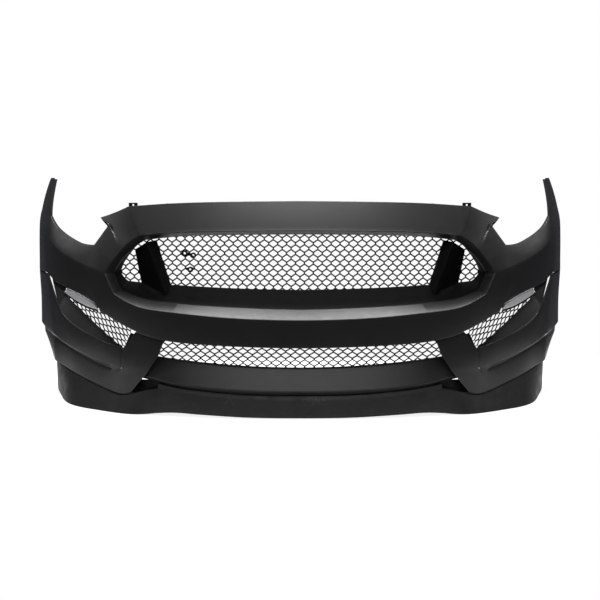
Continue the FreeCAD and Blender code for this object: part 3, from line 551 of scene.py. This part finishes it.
def surface_points(rows):
    """Grid of points on the spline surface that has the rows as its net of poles."""
    along = weights(len(rows[0]))
    across = weights(len(rows))
    lines = []
    for row in rows:
        lines.append([sum((p * w for p, w in zip(row, share) if w), Vector()) for share in along])
    grid = []
    for share in across:
        grid.append([sum((line[j] * w for line, w in zip(lines, share) if w), Vector())
                     for j in range(len(along))])
    return grid


def whole_car(patches):
    """Patches of one side and their mirror images; those that reach the middle become one."""
    both = []
    for patch in patches:
        if all(abs(row[-1].x) < 1e-6 for row in patch):
            both.append([row + [vec(-p.x, p.y, p.z) for p in row[-2::-1]] for row in patch])
        else:
            both += [patch, mirrored(patch)]
    return both


def new_object(name, bm, body="cover"):
    """Object from a bmesh, smooth shaded, that rides on a body."""
    mesh = bpy.data.meshes.new(name)
    bm.to_mesh(mesh)
    bm.free()
    mesh.shade_smooth()
    piece = bpy.data.objects.new(name, mesh)
    bpy.context.scene.collection.objects.link(piece)
    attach(piece, body)
    return piece


def finish_piece(piece, material, nodes):
    """Give a piece its material and hide the CAD nodes it stands for."""
    piece.data.materials.append(material)
    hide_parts(*nodes)


def add_bevel(piece, width, segments=3, angle=32.0):
    """Rounded edges of a width in millimetres."""
    bevel = piece.modifiers.new("round edges", "BEVEL")
    bevel.width = width / 1000.0
    bevel.segments = segments
    bevel.limit_method = "ANGLE"
    bevel.angle_limit = math.radians(angle)
    bevel.use_clamp_overlap = False
    bevel.miter_outer = "MITER_ARC"


def add_thickness(piece, thickness):
    """Wall of a thickness in millimetres, to the inner side of the faces."""
    wall = piece.modifiers.new("wall", "SOLIDIFY")
    wall.thickness = thickness / 1000.0
    wall.offset = -1.0
    wall.use_even_offset = False
    wall.use_quality_normals = True
    wall.thickness_clamp = 1.0


def add_even_shading(piece):
    """Shading that keeps the large faces even beside rounded edges."""
    even = piece.modifiers.new("even shading", "WEIGHTED_NORMAL")
    even.keep_sharp = True
    even.weight = 60


def sheet(name, patches, thickness, into=(0, 1, 0), edge=EDGE_R, rim=RIM_R):
    """Moulded sheet: sampled patches with rounded folds, a wall and rounded rims."""
    bm = bmesh.new()
    for patch in patches:
        grid = [[bm.verts.new(metres(p)) for p in row] for row in surface_points(patch)]
        for upper, lower in zip(grid, grid[1:]):
            for i in range(len(upper) - 1):
                bm.faces.new((upper[i], upper[i + 1], lower[i + 1], lower[i]))
    bmesh.ops.remove_doubles(bm, verts=bm.verts, dist=2e-5)
    bmesh.ops.recalc_face_normals(bm, faces=bm.faces)
    bm.faces.ensure_lookup_table()
    if bm.faces[0].normal.dot(Vector(into)) > 0:
        bmesh.ops.reverse_faces(bm, faces=bm.faces)
    piece = new_object(name, bm)
    if edge:
        add_bevel(piece, edge)
    add_thickness(piece, thickness)
    if rim:
        add_bevel(piece, rim, 2, 50.0)
    add_even_shading(piece)
    return piece


def grille(name, found, place, thickness):
    """Expanded mesh: a ring of faces round every cell, joined to a sheet with rounded wires."""
    bm = bmesh.new()
    for hole, outer in found:
        inner_ring = [bm.verts.new(metres(place(x, z))) for x, z in hole]
        outer_ring = [bm.verts.new(metres(place(x, z))) for x, z in outer]
        for i in range(6):
            j = (i + 1) % 6
            bm.faces.new((outer_ring[i], outer_ring[j], inner_ring[j], inner_ring[i]))
    bmesh.ops.remove_doubles(bm, verts=bm.verts, dist=5e-5)
    bmesh.ops.recalc_face_normals(bm, faces=bm.faces)
    bm.faces.ensure_lookup_table()
    if bm.faces[0].normal.y > 0:
        bmesh.ops.reverse_faces(bm, faces=bm.faces)
    piece = new_object(name, bm)
    add_thickness(piece, thickness)
    add_bevel(piece, WIRE_R, 2, 50.0)
    return piece


def mesh_cells(region, pitch, row, link, wire, tilt=0.0):
    """Holes of an expanded mesh inside a region, each with the cell that surrounds it.

    The rows are offset by half a pitch.
    """
    reach = max(abs(value) for corner in region for value in corner)
    middle_x = sum(x for x, z in region) / len(region)
    middle_z = sum(z for x, z in region) / len(region)
    cos, sin = math.cos(math.radians(tilt)), math.sin(math.radians(tilt))

    def turned(corners):
        found = []
        for x, z in corners:
            found.append((middle_x + x * cos - z * sin, middle_z + x * sin + z * cos))
        return found

    cells = []
    for i in range(-int(reach / row) - 2, int(reach / row) + 3):
        for j in range(-int(reach / pitch) - 2, int(reach / pitch) + 3):
            x, z = (j + 0.5 * (i % 2)) * pitch, i * row
            hole = turned(cell_corners(x, z, pitch, row, link, wire))
            if all(inside(region, u, w) for u, w in hole):
                cells.append((hole, turned(cell_corners(x, z, pitch, row, link, 0.0))))
    return cells


def upper_bent(x, z):
    """Point on the front face of the upper mesh."""
    return vec(x, dish_y(x, UPPER_MESH_Y, UPPER_MESH_R), z)


def lower_bent(x, z):
    """Point on the front face of the lower mesh."""
    return vec(x, dish_y(x, LOWER_MESH_Y, LOWER_MESH_R), z)


def material(name, colour, roughness, metallic=0.0, specular=0.5):
    """Principled material, with its nodes and its shader."""
    made = bpy.data.materials.new(name)
    made.use_nodes = True
    shader = made.node_tree.nodes["Principled BSDF"]
    shader.inputs["Base Color"].default_value = (*colour, 1.0)
    shader.inputs["Roughness"].default_value = roughness
    shader.inputs["Metallic"].default_value = metallic
    shader.inputs["Specular IOR Level"].default_value = specular
    return made, made.node_tree, shader


def noise(tree, scale, detail=3.0, roughness=0.5):
    """Noise in object space, in cells per metre."""
    place = tree.nodes.new("ShaderNodeTexCoord")
    texture = tree.nodes.new("ShaderNodeTexNoise")
    texture.inputs["Scale"].default_value = scale
    texture.inputs["Detail"].default_value = detail
    texture.inputs["Roughness"].default_value = roughness
    tree.links.new(place.outputs["Object"], texture.inputs["Vector"])
    return texture.outputs["Fac"]


def spread(tree, source, low, high, start=0.3, end=0.7):
    """The source stretched from start..end to low..high."""
    mapped = tree.nodes.new("ShaderNodeMapRange")
    mapped.inputs["From Min"].default_value = start
    mapped.inputs["From Max"].default_value = end
    mapped.inputs["To Min"].default_value = low
    mapped.inputs["To Max"].default_value = high
    tree.links.new(source, mapped.inputs["Value"])
    return mapped.outputs["Result"]


def shades(tree, source, dark, light, start=0.3, end=0.7):
    """Colour between dark and light, by the source."""
    ramp = tree.nodes.new("ShaderNodeValToRGB")
    ramp.color_ramp.elements[0].position = start
    ramp.color_ramp.elements[0].color = (*dark, 1.0)
    ramp.color_ramp.elements[1].position = end
    ramp.color_ramp.elements[1].color = (*light, 1.0)
    tree.links.new(source, ramp.inputs["Fac"])
    return ramp.outputs["Color"]


def bump(tree, shader, source, depth, strength=0.5):
    """Fine relief of a depth in metres."""
    relief = tree.nodes.new("ShaderNodeBump")
    relief.inputs["Strength"].default_value = strength
    relief.inputs["Distance"].default_value = depth
    tree.links.new(source, relief.inputs["Height"])
    tree.links.new(relief.outputs["Normal"], shader.inputs["Normal"])


def height(tree):
    """Height above the floor in metres."""
    place = tree.nodes.new("ShaderNodeTexCoord")
    parts = tree.nodes.new("ShaderNodeSeparateXYZ")
    tree.links.new(place.outputs["Object"], parts.inputs["Vector"])
    return parts.outputs["Z"]


def multiplied(tree, first, second):
    """Product of two values."""
    product = tree.nodes.new("ShaderNodeMath")
    product.operation = "MULTIPLY"
    tree.links.new(first, product.inputs[0])
    tree.links.new(second, product.inputs[1])
    return product.outputs["Value"]


def mixed(tree, share, colour, other):
    """A colour with another one laid over it by a share."""
    mix = tree.nodes.new("ShaderNodeMix")
    mix.data_type = "RGBA"
    mix.inputs[7].default_value = (*other, 1.0)
    tree.links.new(share, mix.inputs["Factor"])
    tree.links.new(colour, mix.inputs[6])
    return mix.outputs[2]


def primed_skin():
    """Satin moulded plastic in dark grey primer."""
    made, tree, shader = material("primed_skin", (0.012, 0.012, 0.0125), 0.36, specular=0.3)
    cloud = noise(tree, 9.0)
    tree.links.new(shades(tree, cloud, (0.011, 0.011, 0.0115), (0.0135, 0.0135, 0.014)),
                   shader.inputs["Base Color"])
    tree.links.new(spread(tree, noise(tree, 60.0), 0.33, 0.4), shader.inputs["Roughness"])
    bump(tree, shader, noise(tree, 900.0, 2.0), 0.00004, 0.35)
    return made


def black_moulding():
    """Unpainted black plastic with a fine matt grain."""
    made, tree, shader = material("black_moulding", (0.004, 0.004, 0.0042), 0.65, specular=0.08)
    tree.links.new(shades(tree, noise(tree, 40.0), (0.0035, 0.0035, 0.0037), (0.005, 0.005, 0.0052)),
                   shader.inputs["Base Color"])
    bump(tree, shader, noise(tree, 1400.0, 2.0), 0.00006, 0.5)
    return made


def satin_moulding():
    """Black plastic of the valance, smoother than the rest."""
    made, tree, shader = material("satin_moulding", (0.012, 0.012, 0.0125), 0.38, specular=0.3)
    tree.links.new(shades(tree, noise(tree, 20.0), (0.010, 0.010, 0.0104), (0.014, 0.014, 0.0145)),
                   shader.inputs["Base Color"])
    bump(tree, shader, noise(tree, 1000.0, 2.0), 0.00005, 0.4)
    return made


def mesh_black():
    """Black coating on the grilles, a little uneven in gloss."""
    made, tree, shader = material("mesh_black", (0.005, 0.005, 0.005), 0.5, specular=0.12)
    tree.links.new(spread(tree, noise(tree, 120.0), 0.4, 0.6), shader.inputs["Roughness"])
    tree.links.new(shades(tree, noise(tree, 30.0), (0.005, 0.005, 0.005), (0.008, 0.008, 0.008)),
                   shader.inputs["Base Color"])
    return made


def grained_lip():
    """Raw black plastic of the lip, with a pebbled grain and faint pale scuffs."""
    made, tree, shader = material("grained_lip", (0.01, 0.01, 0.01), 0.45, specular=0.28)
    plain = shades(tree, noise(tree, 70.0, 6.0, 0.7), (0.0085, 0.0085, 0.0088),
                   (0.016, 0.016, 0.016), 0.5, 0.85)
    near_top = spread(tree, height(tree), 0.0, 1.0, 0.035, 0.055)
    patchy = spread(tree, noise(tree, 11.0, 2.0), 0.0, 1.0, 0.56, 0.66)
    marks = spread(tree, noise(tree, 160.0, 5.0, 0.8), 0.0, 1.0, 0.52, 0.72)
    scuffed = multiplied(tree, multiplied(tree, near_top, patchy), marks)
    tree.links.new(mixed(tree, scuffed, plain, (0.06, 0.06, 0.06)), shader.inputs["Base Color"])
    tree.links.new(spread(tree, noise(tree, 25.0, 4.0), 0.45, 0.65), shader.inputs["Roughness"])
    bump(tree, shader, noise(tree, 1000.0, 3.0), 0.00012, 0.6)
    return made


def lamp_grey():
    """Smoky grey plastic of the lamp strips."""
    made, tree, shader = material("lamp_lens", (0.42, 0.42, 0.43), 0.3)
    shader.inputs["Coat Weight"].default_value = 0.4
    shader.inputs["Coat Roughness"].default_value = 0.15
    tree.links.new(shades(tree, noise(tree, 500.0, 2.0), (0.34, 0.34, 0.35), (0.5, 0.5, 0.51)),
                   shader.inputs["Base Color"])
    bump(tree, shader, noise(tree, 700.0, 1.0), 0.0001, 0.4)
    return made


def reflector():
    """Pale board with the light sources."""
    made, tree, shader = material("reflector", (0.5, 0.5, 0.5), 0.3, 0.6)
    tree.links.new(spread(tree, noise(tree, 200.0), 0.2, 0.4), shader.inputs["Roughness"])
    return made


def zinc_steel():
    """Zinc plated fasteners."""
    made, tree, shader = material("zinc_steel", (0.42, 0.42, 0.4), 0.35, 1.0)
    tree.links.new(spread(tree, noise(tree, 300.0), 0.25, 0.5), shader.inputs["Roughness"])
    tree.links.new(shades(tree, noise(tree, 150.0), (0.34, 0.34, 0.32), (0.5, 0.5, 0.48)),
                   shader.inputs["Base Color"])
    return made


def floor_white():
    """Pale studio floor."""
    made, tree, shader = material("floor_white", (0.4, 0.4, 0.4), 0.9, specular=0.0)
    shader.inputs["Emission Color"].default_value = (1.0, 1.0, 1.0, 1.0)
    shader.inputs["Emission Strength"].default_value = 0.85
    tree.links.new(shades(tree, noise(tree, 3.0), (0.38, 0.38, 0.38), (0.42, 0.42, 0.42)),
                   shader.inputs["Base Color"])
    return made


def housing_patches():
    """Recess round the upper mesh, of one side."""
    inner = surround_inner()
    patches = []
    for sector, window in upper_opening().items():
        patches.append([moved(inner[sector], vec(0, FLANGE + MESH_GAP, 0)), window])
        patches.append([window, grown(window, RIM)])
    return patches


def stepped_corner_patches():
    """Corner panel whose arm sits a little deeper than its pillar, with a step between them."""
    patches = corner_patches()
    knee, shin = patches[1], patches[2][1]
    edge = [row[-1] for row in knee] + [shin[-1]]
    inner = [p + vec(*ARM_STEP) for p in edge[:-1]] + [edge[-1]]
    duct = patches[5][0]
    for patch in patches[5:]:
        if patch[0] is duct and len(patch) == 2:
            patch[1][0] = inner[0] + vec(*DUCT_FLANGE)
        for row in patch:
            for old, new in zip(edge[:-1], inner):
                if (row[0] - old).length < 1e-3:
                    row[0] = new
    return patches + [[edge, inner]]


def beaded_ring_patches():
    """Front of the skin with a fine raised bead along the top edge of the grille surround."""
    patches = ring_patches()
    outer, inner = patches[0][0], patches[1][0]
    bead = []
    for p in outer:
        size = BEAD * min(max((outer[0].x - p.x) / BEAD_RUN_OUT, 0.0), 1.0)
        bead.append(p + vec(0.0, -size, -size))
    patches[1] = [inner, bead]
    return patches + [[outer, bead]]


def beaded_valance_patches():
    """Valance with a raised bead along its front ridge."""
    patches = valance_patches()
    ridge, under = patches[1]
    bead = moved(ridge, vec(0.0, -BEAD, -1.4 * BEAD))
    return [patches[0], [ridge, bead], [bead, under]] + patches[2:]


def lens_bar_patches():
    """Lens of the lamp strip: roof, face, chin and the blunt inboard end."""
    top, bottom = lens_rails()
    back = moved(top, vec(0, 12, 2))
    chin = moved(bottom, vec(0, 11, -11))
    return [[top, bottom], [back, top], [bottom, chin],
            [[back[0], top[0]], [chin[0], bottom[0]]]]


def both_pieces(name, make_patches, thickness, finish, into=(0, 1, 0), edge=EDGE_R, rim=RIM_R):
    """Left piece and its mirror image."""
    for hand in ("left", "right"):
        patches = make_patches()
        facing = into
        if hand == "right":
            patches = [mirrored(patch) for patch in patches]
            facing = (-into[0], into[1], into[2])
        piece = sheet("%s_%s_look" % (name, hand), patches, thickness, facing, edge, rim)
        finish_piece(piece, finish, ["%s_%s" % (name, hand)])


def build_skin(finish):
    """The moulded fascia."""
    piece = sheet("bumper_skin_look", whole_car(beaded_ring_patches() + shoulder_patches()), SKIN)
    finish_piece(piece, finish, ["bumper_skin"])


def build_grilles(finish):
    """Upper and lower expanded mesh."""
    found = mesh_cells(window_loop(RIM - 10), *UPPER_LATTICE)
    upper = grille("upper_grille_mesh_look", found, upper_bent, MESH_T)
    finish_piece(upper, finish, ["upper_grille_mesh"])
    half = [(0, 244), (278, 252), (420, 262), (492, 268), (492, 150), (430, 146), (291, 134),
            (0, 122)]
    region = half + [(-x, z) for x, z in half[-2:0:-1]]
    found = mesh_cells(region, *LOWER_LATTICE)
    lower = grille("lower_grille_mesh_look", found, lower_bent, MESH_T)
    finish_piece(lower, finish, ["lower_grille_mesh"])


def build_duct_meshes(finish):
    """Flat mesh at the back of each side duct."""
    sheet_edge = [(-26, 268), (-18, 238), (14, 184), (60, 190), (335, 330), (348, 392), (290, 392),
                  (120, 352), (40, 300)]
    found = mesh_cells(sheet_edge, *DUCT_LATTICE)
    for hand, way in (("left", 1.0), ("right", -1.0)):
        def place(a, z, way=way):
            p = duct_point(a, z)
            return vec(p.x * way, p.y, p.z)
        piece = grille("duct_mesh_%s_look" % hand, found, place, MESH_T)
        finish_piece(piece, finish, ["duct_mesh_%s" % hand])


def dress_cad(names, finish):
    """CAD pieces that are shown as they are, with a finish and rounded edges."""
    for name in names:
        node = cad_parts[name]
        node.data.materials.clear()
        node.data.materials.append(finish)
        add_bevel(node, CAD_EDGE_R, 2, 40.0)


def build_pieces():
    """Every visible piece, from the skin to the fasteners."""
    skin = primed_skin()
    black = black_moulding()
    wires = mesh_black()
    build_skin(skin)
    both_pieces("corner_panel", stepped_corner_patches, PANEL_T, skin)
    both_pieces("lamp_lens", lens_bar_patches, LENS_T, lamp_grey(), edge=1.6)
    lip = sheet("chin_lip_look", whole_car(lip_patches()), LIP_T)
    finish_piece(lip, grained_lip(), ["chin_lip"])
    valance = sheet("lower_valance_look", whole_car(beaded_valance_patches()), VALANCE_T)
    finish_piece(valance, satin_moulding(), ["lower_valance"])
    housing = sheet("upper_grille_housing_look", whole_car(housing_patches()), HOUSING_T,
                    (0, 0, 1), 1.0, 0.6)
    finish_piece(housing, black, ["upper_grille_housing"])
    both_pieces("grille_blade", blade_patches, PANEL_T, black)
    both_pieces("duct_housing", duct_patches, DUCT_T, black, (0, 0, -1), 0, 0.5)
    build_grilles(wires)
    build_duct_meshes(wires)
    sides = ("left", "right")
    dress_cad(["lamp_reflector_" + s for s in sides], reflector())
    pairs = ("lamp_housing_", "lamp_bezel_", "fender_bracket_")
    dress_cad([n + s for s in sides for n in pairs], black)
    dress_cad(["lower_grille_frame", "badge_bracket", "hood_tabs", "retainer_sleeves"], black)
    dress_cad(["retainer_pin_%d" % n for n in range(1, 5)], black)
    dress_cad(["mesh_rivets", "lip_screws", "lip_nuts"], zinc_steel())


def add_area(name, place, target, width, depth, power):
    """Soft light of a size in metres that faces a point."""
    lamp = bpy.data.lights.new(name, "AREA")
    lamp.shape = "RECTANGLE"
    lamp.size = width
    lamp.size_y = depth
    lamp.energy = power
    holder = bpy.data.objects.new(name, lamp)
    holder.location = place
    holder.rotation_euler = (Vector(target) - Vector(place)).to_track_quat("-Z", "Y").to_euler()
    bpy.context.scene.collection.objects.link(holder)


def build_studio():
    """White studio: pale floor, white surroundings and soft lights from above."""
    floor = bpy.data.meshes.new("floor")
    floor.from_pydata([(-1.3, -0.45, 0), (1.3, -0.45, 0), (1.3, 0.7, 0), (-1.3, 0.7, 0)], [],
                      [(0, 1, 2, 3)])
    floor.materials.append(floor_white())
    ground = bpy.data.objects.new("floor", floor)
    bpy.context.scene.collection.objects.link(ground)
    world = bpy.data.worlds.new("studio")
    bpy.context.scene.world = world
    world.use_nodes = True
    tree = world.node_tree
    surround = tree.nodes["Background"]
    surround.inputs["Color"].default_value = (0.9, 0.93, 1.0, 1.0)
    surround.inputs["Strength"].default_value = 0.12
    backdrop = tree.nodes.new("ShaderNodeBackground")
    backdrop.inputs["Color"].default_value = (1.0, 1.0, 1.0, 1.0)
    backdrop.inputs["Strength"].default_value = 1.0
    ray = tree.nodes.new("ShaderNodeLightPath")
    mix = tree.nodes.new("ShaderNodeMixShader")
    tree.links.new(ray.outputs["Is Camera Ray"], mix.inputs["Fac"])
    tree.links.new(surround.outputs["Background"], mix.inputs[1])
    tree.links.new(backdrop.outputs["Background"], mix.inputs[2])
    tree.links.new(mix.outputs["Shader"], tree.nodes["World Output"].inputs["Surface"])
    add_area("overhead", (0.0, 0.15, 2.3), (0.0, -0.2, 0.3), 2.0, 0.8, 135.0)
    add_area("front_top", (0.0, -2.2, 2.2), (0.0, -0.1, 0.5), 2.4, 0.8, 18.0)
    add_area("middle_top", (0.0, -1.05, 1.95), (0.0, -0.25, 0.12), 1.1, 0.4, 11.0)
    add_area("front_fill", (0.0, -3.4, 1.35), (0.0, -0.2, 0.1), 2.6, 0.5, 9.0)
    add_area("left_side", (2.6, -0.3, 1.9), (0.7, 0.0, 0.4), 0.6, 1.4, 12.0)
    add_area("right_side", (-2.6, -0.3, 1.9), (-0.7, 0.0, 0.4), 0.6, 1.4, 12.0)


def build_camera():
    """Camera in front of the cover, a little above it and tipped down."""
    lens = bpy.data.cameras.new("camera")
    lens.lens = 50.0
    lens.sensor_width = 36.0
    holder = bpy.data.objects.new("camera", lens)
    holder.location = CAMERA_PLACE
    holder.rotation_euler = (math.radians(CAMERA_PITCH), 0.0, 0.0)
    bpy.context.scene.collection.objects.link(holder)
    bpy.context.scene.camera = holder


build_pieces()
build_studio()
build_camera()
bpy.context.scene.view_settings.view_transform = "Standard"
